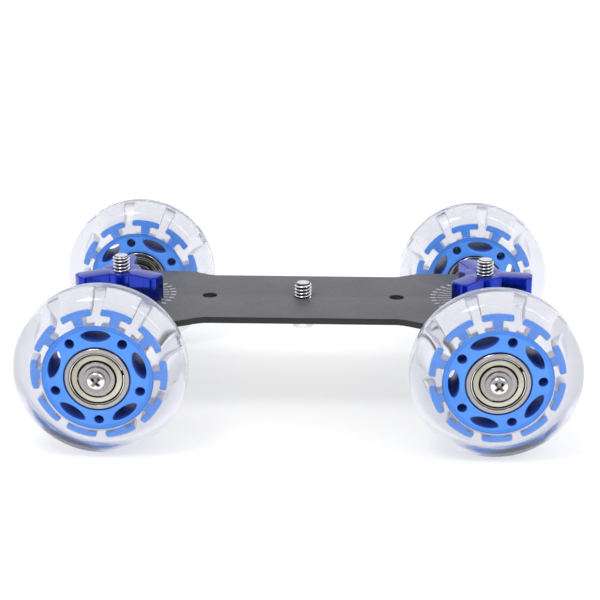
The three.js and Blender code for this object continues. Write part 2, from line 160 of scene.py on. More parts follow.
# Half of the outer ring's section as (radius, depth below the face, fillet): the race, then the back of
# the shield, its front, the clip's groove and the ring's face
SHIELD_BORE_RADIUS = 6.75
CLIP_GROOVE_RADII = (8.65, 9.52)
CLIP_GROOVE_DEPTH = 0.95
OUTER_RING_SECTION = [
    (9.6, 2.6, 0),
    (9.6, 1.15, 0),
    (9.3, 1.1, 0),
    (SHIELD_BORE_RADIUS, 0.85, 0.05),
    (SHIELD_BORE_RADIUS, 0.46, 0.08),
    (7.1, 0.4, 0.2),
    (8.35, 0.42, 0.15),
    (8.62, 0.55, 0.1),
    (CLIP_GROOVE_RADII[0], CLIP_GROOVE_DEPTH, 0.05),
    (CLIP_GROOVE_RADII[1], CLIP_GROOVE_DEPTH, 0.05),
    (9.56, 0, 0.14),
    (BEARING_RADIUS, 0, 0.4),
]
OUTER_RING_FILLET_STEPS = 3
# How far the painted shade reaches past a groove or the shield's bore, and how deep below its face the outer
# ring takes it.
GROOVE_MARGIN = 0.02
SHIELD_MARGIN = 0.05
PAINTED_SHADE_DEPTH = 0.7

# Half of the inner ring's section: the race's half width, and where the land beside it starts
INNER_RACE_HALF_WIDTH = 0.5
INNER_LAND_START = 1.6
# Which of the land's faces take a painted shade.
INNER_LAND_MARGIN = 0.1
INNER_LAND_DEPTH = 0.2

# Threads
THREAD_RADIUS = 3.175
THREAD_DEPTH = 0.72
THREAD_PITCH = 1.27
THREAD_SHARES = [0, 0, 0.18, 0.42, 0.68, 0.92, 1, 1, 0.88, 0.62, 0.36, 0.12]
THREAD_ROOT_SHARE = 0.7
SHANK_RADIUS = THREAD_RADIUS - 0.15
TIP_CHAMFER = 0.8
TIP_SLOPE = 1.1
LEVEL = 0.9

# Axle screws and washers
HEAD_RADIUS = 3.2
HEAD_HEIGHT = 2.2
HEAD_SIDE = 0.75
HEAD_EDGE = 0.12
HEAD_DOME_DEGREES = (0, 15, 30, 45, 60, 75)
AXLE_WASHER_RADIUS = 4.6
AXLE_WASHER_THICKNESS = 0.8
AXLE_WASHER_GAP = 0.15
AXLE_WASHER_EDGE = 0.18
AXLE_SCREW_RADIUS = 2.0
AXLE_SCREW_LENGTH = 10.0
AXLE_SCREW_CHAMFER = 0.5

# The cross recess as (length, width, height above the head's top) of a blade, from its foot up
RECESS_LEVELS = ((1.6, 0.75, -1.5), (3.9, 1.1, -0.3), (5.0, 1.25, 0.6))
# How far out and how deep the recess's faces take a painted shade.
RECESS_REACH_SHARE = 0.75
RECESS_DEPTH = 0.1

# Pivot bolts, camera screw, nut and washers
BOLT_HEAD_LENGTH = 12.5
BOLT_HEAD_HEIGHT = 3.8
BOLT_HEAD_FILLET = 0.6
BOLT_HEAD_EDGE = 0.3
BOLT_THREAD_LENGTH = 16
SHANK_OVERLAP = 0.5
BOLT_THREAD_OVERLAP = 0.3
CAMERA_HEAD_RADIUS = 4.2
CAMERA_HEAD_HEIGHT = 2.8
CAMERA_HEAD_EDGE = 0.35
CAMERA_SLOT = (12, 1.4, 1.2)
CAMERA_THREAD_DEPTH = 1
CAMERA_SHANK_GAP = 0.7
NUT_ACROSS_FLATS = 11.1
NUT_EDGE = 0.08
NUT_FACE_INSET = 0.1
NUT_CORNER_REACH = 0.3
NUT_CORNER_DROP = 0.6
LOCK_WASHER_RADIUS = 5.8
LOCK_WASHER_SLIT_DEGREES = 4
LOCK_WASHER_STEPS = 60
KNOB_WASHER_RADIUS = 8.0
WASHER_EDGE = 0.12
STACK_GAP = 0.02

# Knobs
KNOB_HUB_RADIUS = 7.3
KNOB_REACH = 17.7
KNOB_ARM_WIDTH = 7.4
KNOB_TIP_WIDTH = 4.4
KNOB_TIP_CHAMFER = 1.7
KNOB_ARMS = 3
KNOB_EDGE = 0.5
KNOB_FILLETS = [0.8, 1.5, 1.2, 1.2, 1.5, 0.8]
KNOB_FILLET_STEPS = 3
KNOB_HUB_STEPS = 10

# Plate and trucks
PLATE_WAIST_WIDTH = 48.4
PLATE_WAIST_LENGTH = 68.0
PLATE_SHOULDER_LENGTH = 13.0
PLATE_SHOULDER_STEPS = 20
PLATE_CORNER_CUT = 8.0
PLATE_CORNER_FILLET = 0.8
PLATE_EDGE = 0.22
# Faces steeper than this take the plate's near-black painted shade.
PLATE_SIDE_SLOPE = 0.6
ACCESSORY_HOLE_X = 35.25
ACCESSORY_HOLE_RADIUS = 2.75
BOLT_HOLE_RADIUS = 3.325
BAR_LENGTH = 58.0
BAR_HEIGHT = 12.0
BAR_EDGE = 0.5
BAR_GROOVE_FILLET = 0.3
GROOVE_WIDTH = 7.0
GROOVE_DEPTH = 4.4
BOSS_RADIUS = 5.9
BOSS_START = 20.0
BOSS_INSET = 0.4
AXLE_RADIUS = 3.95
AXLE_HOLE_DEPTH = 13.0
AXLE_FILLETS = [0, 0, 0.4, 0.1, 0.3, 0.15, 0, 0]

# Engraved angle scales round the pivots, with (near, far, width) of a line and of the tick beyond it
SCALE_STEP_DEGREES = 10
SCALE_REACH_DEGREES = 75
SCALE_LINES = (12.0, 17.6, 0.42)
SCALE_TICKS = (18.2, 20.2, 0.75)
SCALE_HEIGHT = 0.03

# Camera, in millimetres and radians, fitted to the photograph's 600 pixel frame
CAMERA_PLACE = (15.5551, -540.0769, 224.6817)
CAMERA_YAW = -0.01
CAMERA_PITCH = 0.3342
CAMERA_ROLL = 0.0084
CAMERA_CLIP_START = 0.01
FRAME_PIXELS = 600
FOCAL_PIXELS = 1513.81
CENTRE_PIXEL_X = 330.0
SENSOR = 36.0

# Light and floor, in metres and watts. Mirrored rays see the sky go from dark to light along SKY_RISE.
WHITE = (1, 1, 1, 1)
SKY_RISE = (0.0, 0.32, 0.3)
SKY_SHIFT = 0.55
SKY_DARK = (0.25, (0.22, 0.23, 0.26, 1))
SKY_LIGHT = (0.85, (0.8, 0.8, 0.86, 1))
LIGHT_AIM = (0, 0, 0.02)
KEY_LIGHT = {"place_at": (-0.3, -0.35, 0.9), "size": (0.28, 0.28), "power": 2.2}
RIM_LIGHT = {"place_at": (0.45, -0.3, 0.6), "size": (0.12, 0.5), "power": 0.8}
FLOOR_REACH = 6
FLOOR_CELLS = 4
FLOOR_GREY = (0.42, 0.42, 0.42)
FLOOR_ROUGHNESS = 0.9
FLOOR_GLOW = 0.6


# Outlines and solids

def offset(outline, by):
    """The closed outline moved outwards by a distance."""
    count = len(outline)
    points = [Vector(p) for p in outline]
    area = sum(points[i - 1].cross(points[i]) for i in range(count))
    outwards = by if area > 0 else -by
    shifted = []
    for i, p in enumerate(points):
        before = (p - points[i - 1]).normalized()
        after = (points[(i + 1) % count] - p).normalized()
        normal = Vector((before.y, -before.x))
        between = (normal + Vector((after.y, -after.x))).normalized()
        shifted.append(p + between * outwards / max(between.dot(normal), LEAST_MITRE))
    return [tuple(p) for p in shifted]


def rounded(points, radius, steps=4):
    """The closed outline with each corner rounded by one radius, or by its own from a list."""
    count = len(points)
    radii = radius if isinstance(radius, (list, tuple)) else [radius] * count
    outline = []
    for i, point in enumerate(points):
        corner = Vector(point)
        before = Vector(points[i - 1]) - corner
        after = Vector(points[(i + 1) % count]) - corner
        if not radii[i]:
            outline.append(tuple(corner))
            continue
        reach = radii[i] / math.tan(before.angle(after) / 2)
        reach = min(reach, CORNER_SHARE * before.length, CORNER_SHARE * after.length)
        start = corner + before.normalized() * reach
        end = corner + after.normalized() * reach
        for k in range(steps + 1):
            t = k / steps
            outline.append(tuple(start * (1 - t) ** 2 + corner * 2 * t * (1 - t) + end * t**2))
    return outline


def circle(radius, steps=BOLT_STEPS, centre=(0, 0)):
    angles = [FULL_TURN * i / steps for i in range(steps)]
    return [(centre[0] + radius * math.cos(a), centre[1] + radius * math.sin(a)) for a in angles]


def rectangle(length, width):
    x, y = length / 2, width / 2
    return [(-x, -y), (x, -y), (x, y), (-x, y)]


def skin(bm, rings):
    """Faces between neighbouring rings of points, each ring closed on itself or a single point."""
    for low, high in zip(rings, rings[1:]):
        count = max(len(low), len(high))
        for i in range(count):
            j = (i + 1) % count
            corners = [low[i % len(low)], low[j % len(low)], high[j % len(high)], high[i % len(high)]]
            corners = list(dict.fromkeys(corners))
            if len(corners) > 2:
                bm.faces.new(corners)


def capped_skin(bm, rings):
    """A skin closed by a flat face at each end."""
    skin(bm, rings)
    for ring in (rings[0], rings[-1]):
        bm.faces.new(ring)


def lathe(profile, steps):
    """A closed profile of (radius, height) pairs turned round the Y axis."""
    bm = bmesh.new()
    rings = []
    for radius, height in profile:
        if radius < MERGE:
            rings.append([bm.verts.new((0, height, 0))])
        else:
            rings.append([bm.verts.new((x, height, z)) for x, z in circle(radius, steps)])
    skin(bm, rings + rings[:1])
    return clean(bm)


def mirrored_lathe(half, steps, fillet_steps=4):
    """(radius, height, fillet) rows of a section and their mirror image, turned round the Y axis."""
    rows = half + [(radius, -height, fillet) for radius, height, fillet in reversed(half)]
    outline = [(radius, height) for radius, height, fillet in rows]
    return lathe(rounded(outline, [row[2] for row in rows], fillet_steps), steps)


def edge_levels(low, high, edge, steps=3):
    """(inset, height) pairs for a rounded edge at both ends of a prism."""
    angles = [math.pi / 2 * k / steps for k in range(steps + 1)] if edge else [math.pi / 2]
    lower = [(edge * (1 - math.sin(a)), low + edge * (1 - math.cos(a))) for a in angles]
    return lower + [(inset, low + high - z) for inset, z in reversed(lower)]


def prism(outlines, low, high, edge=0.0):
    """An outline with holes, pushed up along Z, with its edges rounded."""
    bm = bmesh.new()
    caps = [], []
    for index, outline in enumerate(outlines):
        into = 1 if index else -1
        rings = []
        for inset, z in edge_levels(low, high, edge):
            rings.append([bm.verts.new((x, y, z)) for x, y in offset(outline, into * inset)])
        skin(bm, rings)
        for cap, ring in zip(caps, (rings[0], rings[-1])):
            cap += [bm.edges.get((ring[i - 1], ring[i])) for i in range(len(ring))]
    for cap in caps:
        bmesh.ops.triangle_fill(bm, use_beauty=True, edges=cap)
    return clean(bm)


def clean(bm):
    bmesh.ops.remove_doubles(bm, verts=bm.verts, dist=MERGE)
    bmesh.ops.recalc_face_normals(bm, faces=bm.faces)
    return bm


def moved(bm, matrix):
    bm.transform(matrix)
    return clean(bm)


def tipped(bm):
    """What stood along Y stands along Z, and what was pushed up along Z runs along Y."""
    return moved(bm, Matrix.Rotation(math.pi / 2, 4, "X"))


def loose_object(name, bm):
    mesh = bpy.data.meshes.new(name)
    bm.to_mesh(mesh)
    bm.free()
    obj = bpy.data.objects.new(name, mesh)
    bpy.context.scene.collection.objects.link(obj)
    return obj


def combined(bm, other, operation):
    """The first solid joined with, cut by or kept inside the second."""
    whole = loose_object("whole", bm)
    tool = loose_object("tool", other)
    modifier = whole.modifiers.new("combine", "BOOLEAN")
    modifier.operation = operation
    modifier.object = tool
    modifier.solver = "EXACT"
    mesh = bpy.data.meshes.new_from_object(whole.evaluated_get(bpy.context.evaluated_depsgraph_get()))
    result = bmesh.new()
    result.from_mesh(mesh)
    meshes = mesh, whole.data, tool.data
    for obj in (whole, tool):
        bpy.data.objects.remove(obj)
    for old in meshes:
        bpy.data.meshes.remove(old)
    return clean(result)


def joined(bm, other):
    return combined(bm, other, "UNION")


def cut(bm, other):
    return combined(bm, other, "DIFFERENCE")


def with_copies(bm, count):
    """Several solids that don't touch, as one: the first and its copies turned round the Y axis."""
    original = bm.copy()
    for i in range(1, count):
        copy = original.copy()
        copy.transform(Matrix.Rotation(FULL_TURN * i / count, 4, "Y"))
        mesh = bpy.data.meshes.new("copy")
        copy.to_mesh(mesh)
        copy.free()
        bm.from_mesh(mesh)
        bpy.data.meshes.remove(mesh)
    original.free()
    return bm


def centre_and_radius(face):
    """The middle of a face, and how far it is from the Y axis."""
    centre = face.calc_center_median()
    return centre, math.hypot(centre.x, centre.z)


def mesh_of(name, bm, *materials):
    """The final mesh, in metres, smooth but for its sharp edges."""
    bmesh.ops.scale(bm, vec=(MM, MM, MM), verts=bm.verts)
    for face in bm.faces:
        face.smooth = True
    for edge in bm.edges:
        edge.smooth = len(edge.link_faces) == 2 and edge.calc_face_angle(math.pi) < SHARP
    mesh = bpy.data.meshes.new(name)
    bm.to_mesh(mesh)
    bm.free()
    for material in materials:
        mesh.materials.append(material)
    return mesh


def turned(mesh, turn):
    """A copy of a mesh with the turn in its points, so that the piece's own box stays tight."""
    copy = mesh.copy()
    copy.transform(turn)
    return copy


def new_object(name, mesh, body):
    """A piece that rides on a body."""
    obj = bpy.data.objects.new(name, mesh)
    bpy.context.scene.collection.objects.link(obj)
    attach(obj, body)
    return obj


def place(node, mesh, body, matrix=Matrix.Identity(4)):
    """A piece that stands for its CAD node."""
    obj = new_object(node + "_fine", mesh, body)
    obj.matrix_world = matrix
    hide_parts(node)


# Materials

def new_material(name, color, roughness, metallic=0.0):
    material = bpy.data.materials.new(name)
    material.use_nodes = True
    shader = material.node_tree.nodes["Principled BSDF"]
    shader.inputs["Base Color"].default_value = (*color, 1)
    shader.inputs["Roughness"].default_value = roughness
    shader.inputs["Metallic"].default_value = metallic
    return material, shader


# Noise lies mostly between these two values
NOISE_LOW = 0.3
NOISE_HIGH = 0.7


def noise(material, scale, stretch=(1, 1, 1), detail=3.0):
    """A noise value over the piece, in its own coordinates, finer along the axes with a large stretch."""
    nodes, links = material.node_tree.nodes, material.node_tree.links
    place_node = nodes.new("ShaderNodeTexCoord")
    mapping = nodes.new("ShaderNodeMapping")
    texture = nodes.new("ShaderNodeTexNoise")
    mapping.inputs["Scale"].default_value = stretch
    texture.inputs["Scale"].default_value = scale
    texture.inputs["Detail"].default_value = detail
    links.new(place_node.outputs["Object"], mapping.inputs["Vector"])
    links.new(mapping.outputs["Vector"], texture.inputs["Vector"])
    return texture.outputs["Fac"]


def spread(material, value, socket, low, high):
    """Feeds a noise value to a socket as a number from low to high."""
    nodes, links = material.node_tree.nodes, material.node_tree.links
    ranged = nodes.new("ShaderNodeMapRange")
    limits = {"From Min": NOISE_LOW, "From Max": NOISE_HIGH, "To Min": low, "To Max": high}
    for name, number in limits.items():
        ranged.inputs[name].default_value = number
    links.new(value, ranged.inputs["Value"])
    links.new(ranged.outputs["Result"], socket)


def set_stop(ramp, index, position, color):
    ramp.color_ramp.elements[index].position = position
    ramp.color_ramp.elements[index].color = color


def tinted(material, value, socket, dark, light):
    """Feeds a noise value to a socket as a colour between two."""
    nodes, links = material.node_tree.nodes, material.node_tree.links
    ramp = nodes.new("ShaderNodeValToRGB")
    set_stop(ramp, 0, NOISE_LOW, (*dark, 1))
    set_stop(ramp, 1, NOISE_HIGH, (*light, 1))
    links.new(value, ramp.inputs["Fac"])
    links.new(ramp.outputs["Color"], socket)


def bumped(material, shader, value, strength, distance):
    nodes, links = material.node_tree.nodes, material.node_tree.links
    bump = nodes.new("ShaderNodeBump")
    bump.inputs["Strength"].default_value = strength
    bump.inputs["Distance"].default_value = distance
    links.new(value, bump.inputs["Height"])
    links.new(bump.outputs["Normal"], shader.inputs["Normal"])


def anodised_black(name, dark, light, roughness):
    material, shader = new_material(name, light, roughness)
    shader.inputs["IOR"].default_value = 1.55
    grain = noise(material, scale=900, detail=2)
    tinted(material, noise(material, scale=60), shader.inputs["Base Color"], dark, light)
    spread(material, grain, shader.inputs["Roughness"], roughness - 0.05, roughness + 0.06)
    bumped(material, shader, grain, strength=0.05, distance=0.00003)
    return material


def anodised_blue():
    dark, light = (0.007, 0.028, 0.36), (0.012, 0.046, 0.55)
    material, shader = new_material("anodised_blue", light, roughness=0.3, metallic=1.0)
    shader.inputs["Coat Weight"].default_value = 0.45
    shader.inputs["Coat Roughness"].default_value = 0.1
    drawn = noise(material, scale=260, stretch=(4, 4, 0.25), detail=2)
    tinted(material, drawn, shader.inputs["Base Color"], dark, light)
    spread(material, drawn, shader.inputs["Roughness"], low=0.1, high=0.2)
    bumped(material, shader, drawn, strength=0.2, distance=0.00003)
    return material


def metal(name, dark, light, roughness):
    material, shader = new_material(name, light, roughness, metallic=1.0)
    grain = noise(material, scale=500, detail=2)
    tinted(material, noise(material, scale=80), shader.inputs["Base Color"], dark, light)
    spread(material, grain, shader.inputs["Roughness"], roughness * 0.8, roughness * 1.3)
    bumped(material, shader, grain, strength=0.1, distance=0.00002)
    return material


def hub_plastic(name, dark, light, glow=0.0):
    material, shader = new_material(name, light, roughness=0.4)
    shader.inputs["Emission Color"].default_value = (*light, 1)
    shader.inputs["Emission Strength"].default_value = glow
    grain = noise(material, scale=1400, detail=2)
    tinted(material, noise(material, scale=90), shader.inputs["Base Color"], dark, light)
    spread(material, grain, shader.inputs["Roughness"], low=0.36, high=0.5)
    bumped(material, shader, grain, strength=0.1, distance=0.00004)
    return material


def clear_polyurethane(name, color, transmission, least_roughness, most_roughness):
    material, shader = new_material(name, color, least_roughness)
    shader.inputs["Transmission Weight"].default_value = transmission
    shader.inputs["IOR"].default_value = 1.45
    nodes, links = material.node_tree.nodes, material.node_tree.links
    body = nodes.new("ShaderNodeVolumeAbsorption")
    body.inputs["Color"].default_value = (0.7, 0.725, 0.84, 1)
    body.inputs["Density"].default_value = 16
    links.new(body.outputs["Volume"], nodes["Material Output"].inputs["Volume"])
    flow = noise(material, scale=70, detail=2)
    spread(material, flow, shader.inputs["Roughness"], least_roughness, most_roughness)
    bumped(material, shader, flow, strength=0.05, distance=0.0003)
    return material


# The plate's faces take a lighter copy of the black, a painted light, and its sides a near-black copy, a
# painted shade.
PLATE_PAINTED_LIGHT = anodised_black("plate_painted_light", (0.085, 0.085, 0.09), (0.105, 0.104, 0.108), roughness=0.5)
PLATE_SIDE_PAINTED_SHADE = anodised_black("plate_side_painted_shade", (0.008, 0.008, 0.009), (0.013, 0.013, 0.014), roughness=0.5)
BAR_BLACK = anodised_black("bar_black", (0.012, 0.012, 0.013), (0.022, 0.022, 0.024), roughness=0.38)
KNOB_BLUE = anodised_blue()
BRIGHT_STEEL = metal("bright_steel", (0.82, 0.82, 0.81), (0.96, 0.96, 0.95), roughness=0.14)
WASHER_STEEL = metal("washer_steel", (0.33, 0.31, 0.31), (0.42, 0.4, 0.4), roughness=0.28)
RING_STEEL = metal("ring_steel", (0.36, 0.345, 0.34), (0.46, 0.44, 0.43), roughness=0.22)
SHIELD_STEEL = metal("shield_steel", (0.4, 0.375, 0.3), (0.65, 0.63, 0.54), roughness=0.2)
# Darker steel for thread roots and the inner ring's land: a painted shade.
GROOVE_PAINTED_SHADE = metal("groove_painted_shade", (0.05, 0.045, 0.035), (0.11, 0.1, 0.08), roughness=0.45)
# Near-black steel for the bearing's clip groove and the gap at the shield's bore: a painted shade.
DEEP_PAINTED_SHADE = metal("deep_painted_shade", (0.01, 0.009, 0.007), (0.025, 0.022, 0.017), roughness=0.5)
# Darker steel inside the screw's cross recess: a painted shade.
RECESS_PAINTED_SHADE = metal("recess_painted_shade", (0.2, 0.19, 0.17), (0.34, 0.32, 0.29), roughness=0.3)
SCALE_SILVER = anodised_black("scale_silver", (0.5, 0.5, 0.5), (0.68, 0.68, 0.67), roughness=0.5)
HUB_BLUE = hub_plastic("hub_blue", (0.065, 0.26, 0.84), (0.085, 0.31, 0.93))
# A lighter, glowing copy of the hub's blue for the teeth: a painted light.
HUB_TEETH_PAINTED_GLOW = hub_plastic("hub_teeth_painted_glow", (0.015, 0.26, 0.88), (0.02, 0.3, 0.96), glow=0.28)
# A darker copy of the hub's blue for its seat, groove and hole walls: a painted shade.
HUB_PAINTED_SHADE = hub_plastic("hub_painted_shade", (0.045, 0.1, 0.42), (0.06, 0.14, 0.54))
CLEAR = clear_polyurethane(
    "clear_polyurethane", (0.9, 0.9, 0.94), transmission=0.96, least_roughness=0.08, most_roughness=0.16,
)
MOULDED = clear_polyurethane(
    "moulded_polyurethane", (0.98, 0.98, 1.0), transmission=0.5, least_roughness=0.35, most_roughness=0.5,
)


# Wheels

def arc_to(radius, low, high):
    """Points round the origin at one radius whose height goes from low to high."""
    heights = [low + (high - low) * i / ARC_STEPS for i in range(ARC_STEPS + 1)]
    return [(math.sqrt(radius**2 - y**2), y) for y in heights]


def tooth_outline(grow):
    """Half of a T drawn along +X, then its mirror image."""
    outer = TOOTH_OUTER_RADIUS + grow
    inner = outer - TOOTH_BAR_THICKNESS - 2 * grow
    half_bar = TOOTH_BAR_LENGTH / 2 + grow
    half_stem = TOOTH_STEM_WIDTH / 2 + grow
    root = RIM_RADIUS - TOOTH_ROOT_DEPTH
    underside = arc_to(inner, half_stem + TOOTH_FILLET_ROOM, half_bar - TOOTH_FILLET_ROOM)
    top = arc_to(outer, half_bar - TOOTH_FILLET_ROOM, 0)[:-1]
    ends = [(math.sqrt(radius**2 - half_bar**2), half_bar) for radius in (inner, outer)]
    half = [(root, half_stem), (inner, half_stem), *underside, *ends, *top]
    fillets = [0, TOOTH_FILLET, *[0] * len(underside), TOOTH_FILLET, TOOTH_FILLET, *[0] * len(top)]
    points = [(x, -y) for x, y in half] + [(outer, 0)] + half[::-1]
    return rounded(points, fillets + [0] + fillets[::-1])


def teeth(grow):
    half = TOOTH_DEPTH / 2 + grow
    tooth = tipped(prism([tooth_outline(grow)], -half, half, TOOTH_EDGE))
    return with_copies(tooth, TOOTH_COUNT)


def crown():
    """Half of the tread's outline, from the flat band down to its widest place."""
    half_flat = TREAD_WIDTH / 2
    points = []
    for i in range(CROWN_STEPS + 1):
        angle = math.pi / 2 * i / CROWN_STEPS
        out = half_flat + (TYRE_WIDTH / 2 - half_flat) * math.sin(angle) ** (2 / CROWN_POWER)
        up = SIDE_RADIUS + (TYRE_RADIUS - SIDE_RADIUS) * math.cos(angle) ** (2 / CROWN_POWER)
        points.append((up, out))
    return points


def tyre():
    """A tyre with a pocket for each tooth, whose sides are frosted."""
    bore = RIM_RADIUS + POCKET_GAP
    half = crown() + [(bore, TYRE_BORE_WIDTH / 2)]
    profile = [(radius, -out) for radius, out in reversed(half)] + half
    bm = cut(lathe(profile, TYRE_STEPS), teeth(POCKET_GAP))
    for face in bm.faces:
        centre, radius = centre_and_radius(face)
        beside_tooth = bore + FROST_FROM_BORE < radius < TOOTH_OUTER_RADIUS - FROST_FROM_TOP
        if beside_tooth and abs(centre.y) < TOOTH_DEPTH / 2 - FROST_FROM_END:
            face.material_index = FROSTED_FACES
    return bm


def web_face(radius):
    """How far out the web's face is at a radius."""
    share = (radius - LIP_RADIUS) / (RIM_RADIUS - LIP_RADIUS)
    return (LIP_WIDTH + (RIM_WIDTH - LIP_WIDTH) * min(max(share, 0), 1)) / 2


def web_cutter(outline):
    """A hole through the web that opens out at both faces with a rounded edge."""
    angles = [math.radians(a) for a in WEB_EDGE_DEGREES]
    levels = [(WEB_EDGE * (1 - math.sin(a)), WEB_EDGE * (1 - math.cos(a))) for a in angles]
    grow, depth = levels[0]
    flare = (grow + OVERRUN * math.cos(angles[0]), depth - OVERRUN * math.sin(angles[0]))
    levels = [flare] + levels
    bm = bmesh.new()
    rings = []
    for face in (1, -1):
        for grow, depth in levels[::face]:
            ring = offset(outline, grow)
            rings.append([bm.verts.new((x, face * (web_face(math.hypot(x, z)) - depth), z)) for x, z in ring])
    capped_skin(bm, rings)
    return clean(bm)


def slot_outline():
    """A lens with rounded ends, across +Z."""
    points = []
    for x, y in circle(1, WEB_SLOT_STEPS):
        across = math.copysign(abs(y) ** WEB_SLOT_POWER, y)
        points.append((x * WEB_SLOT_LENGTH / 2, WEB_CIRCLE_RADIUS + across * WEB_SLOT_WIDTH / 2))
    return points


def hub():
    """The blue core: bearing seats, a web with holes and slots, and the teeth round its rim."""
    seat = BEARING_RADIUS + SEAT_GAP
    seat_groove = seat + SEAT_GROOVE_WIDTH
    rim_groove_end = RIM_GROOVE_RADIUS + RIM_GROOVE_WIDTH
    shoulder = BEARING_FACE_SPACING / 2 - BEARING_WIDTH
    half = [
        (SHOULDER_RADIUS, shoulder, 0.2),
        (seat, shoulder, 0),
        (seat, LIP_WIDTH / 2 - SEAT_GROOVE_DEPTH, 0),
        (seat_groove, LIP_WIDTH / 2 - SEAT_GROOVE_DEPTH, 0),
        (seat_groove, LIP_WIDTH / 2, 0.15),
        (LIP_RADIUS, LIP_WIDTH / 2, 0.4),
        (RIM_GROOVE_RADIUS, web_face(RIM_GROOVE_RADIUS), 0.1),
        (RIM_GROOVE_RADIUS, web_face(RIM_GROOVE_RADIUS) - RIM_GROOVE_DEPTH, 0),
        (rim_groove_end, web_face(RIM_GROOVE_RADIUS) - RIM_GROOVE_DEPTH, 0),
        (rim_groove_end, web_face(rim_groove_end), 0.1),
        (RIM_RADIUS, RIM_WIDTH / 2, 0.5),
    ]
    body = joined(mirrored_lathe(half, HUB_STEPS), teeth(0))
    hole = web_cutter(circle(WEB_HOLE_RADIUS, WEB_HOLE_STEPS, (0, -WEB_CIRCLE_RADIUS)))
    body = cut(body, with_copies(hole, WEB_COUNT))
    body = cut(body, with_copies(web_cutter(slot_outline()), WEB_COUNT))
    for face in body.faces:
        centre, radius = centre_and_radius(face)
        in_web = LIP_RADIUS + HOLE_FROM_LIP < radius < RIM_RADIUS - HOLE_FROM_RIM
        # Teeth take the glowing lighter blue, a painted light.
        if radius > RIM_RADIUS + TEETH_FROM_RIM:
            face.material_index = GLOWING_TOOTH_FACES
        # The seat, its groove and the walls of the web's holes take the darker blue, a painted shade.
        elif radius < seat_groove + GROOVE_MARGIN:
            face.material_index = PAINTED_SHADE_FACES
        elif in_web and abs(centre.y) < web_face(radius) - HOLE_FROM_FACE:
            face.material_index = PAINTED_SHADE_FACES
    return body


def outer_ring():
    """The outer ring with a shield held in each side by a wire clip."""
    face = BEARING_WIDTH / 2
    half = [(radius, face - depth, fillet) for radius, depth, fillet in OUTER_RING_SECTION]
    bm = mirrored_lathe(half, BEARING_STEPS, OUTER_RING_FILLET_STEPS)
    for side in (1, -1):
        add_clip(bm, side * (face - CLIP_DEPTH))
    for part in bm.faces:
        centre, radius = centre_and_radius(part)
        part.material_index = ring_material(radius, face - abs(centre.y))
    return bm


def ring_material(radius, depth):
    """Which material the outer ring's piece has at a radius and at a depth below its face."""
    # The shield's bore, the clip's groove and the deepest faces near it take a near-black painted shade; the
    # wire is bright steel.
    if radius < SHIELD_BORE_RADIUS + SHIELD_MARGIN:
        return PAINTED_SHADE_FACES
    if radius > CLIP_GROOVE_RADII[1] + GROOVE_MARGIN or depth > CLIP_GROOVE_DEPTH + SHIELD_MARGIN:
        return MAIN_FACES
    if depth > PAINTED_SHADE_DEPTH:
        return PAINTED_SHADE_FACES
    if abs(radius - CLIP_RADIUS) < CLIP_WIRE_RADIUS:
        return WIRE_FACES
    return PAINTED_SHADE_FACES if radius > CLIP_GROOVE_RADII[0] - GROOVE_MARGIN else SHIELD_FACES


def add_clip(bm, height):
    """A round wire bent in an open ring."""
    first, last = (math.radians(a) for a in CLIP_GAP_DEGREES)
    rings = []
    for i in range(CLIP_STEPS + 1):
        angle = last + (FULL_TURN - (last - first)) * i / CLIP_STEPS
        ring = []
        for radius, out in circle(CLIP_WIRE_RADIUS, CLIP_WIRE_STEPS):
            reach = CLIP_RADIUS + radius
            ring.append(bm.verts.new((reach * math.cos(angle), height + out, reach * math.sin(angle))))
        rings.append(ring)
    capped_skin(bm, rings)
    bmesh.ops.recalc_face_normals(bm, faces=bm.faces)


def inner_ring():
    face = BEARING_WIDTH / 2
    race = BALL_CIRCLE_RADIUS - BALL_RADIUS - RACE_GAP
    half = [
        (race, INNER_RACE_HALF_WIDTH, 0),
        (INNER_RING_RADIUS, INNER_LAND_START, 0.1),
        (INNER_RING_RADIUS, face, 0.25),
        (BEARING_BORE_RADIUS, face, 0.3),
    ]
    bm = mirrored_lathe(half, RING_STEPS)
    for part in bm.faces:
        centre, radius = centre_and_radius(part)
        # The land beside the race, in the gap under the shield, takes a darker steel: a painted shade.
        if radius > INNER_RING_RADIUS - INNER_LAND_MARGIN and abs(centre.y) < face - INNER_LAND_DEPTH:
            part.material_index = SHADED_LAND_FACES
    return bm


def ball_cage():
    """Seven balls in a ring-shaped cage."""
    inner, outer = (BALL_CIRCLE_RADIUS + side * CAGE_THICKNESS / 2 for side in (-1, 1))
    half = CAGE_WIDTH / 2
    outline = [(inner, -half), (outer, -half), (outer, half), (inner, half)]
    cage = lathe(rounded(outline, CAGE_EDGE), CAGE_STEPS)
    balls = bmesh.new()
    at = Matrix.Translation((BALL_CIRCLE_RADIUS, 0, 0))
    bmesh.ops.create_icosphere(balls, subdivisions=BALL_DETAIL, radius=BALL_RADIUS, matrix=at)
    return joined(cage, with_copies(balls, BALL_COUNT))


def spacer():
    half = BEARING_FACE_SPACING / 2 - BEARING_WIDTH - SLIP
    rows = [(BEARING_BORE_RADIUS, half, SPACER_EDGE), (SPACER_RADIUS, half, SPACER_EDGE)]
    return mirrored_lathe(rows, SMALL_STEPS)


def axle_washer():
    low = BEARING_FACE_SPACING / 2 + SLIP
    high = low + AXLE_WASHER_THICKNESS
    bore = AXLE_SCREW_RADIUS + AXLE_WASHER_GAP
    outline = [(bore, low), (AXLE_WASHER_RADIUS, low), (AXLE_WASHER_RADIUS, high), (bore, high)]
    return lathe(rounded(outline, AXLE_WASHER_EDGE), RING_STEPS)


def cross_recess(high):
    """Two crossed blades that narrow as they go down, for a cross-head driver."""
    blades = []
    for turn in (math.pi / 4, -math.pi / 4):
        bm = bmesh.new()
        rings = []
        for length, width, above in RECESS_LEVELS:
            rings.append([bm.verts.new((x, high + above, z)) for x, z in rectangle(length, width)])
        capped_skin(bm, rings)
        blades.append(moved(bm, Matrix.Rotation(turn, 4, "Y")))
    return joined(*blades)


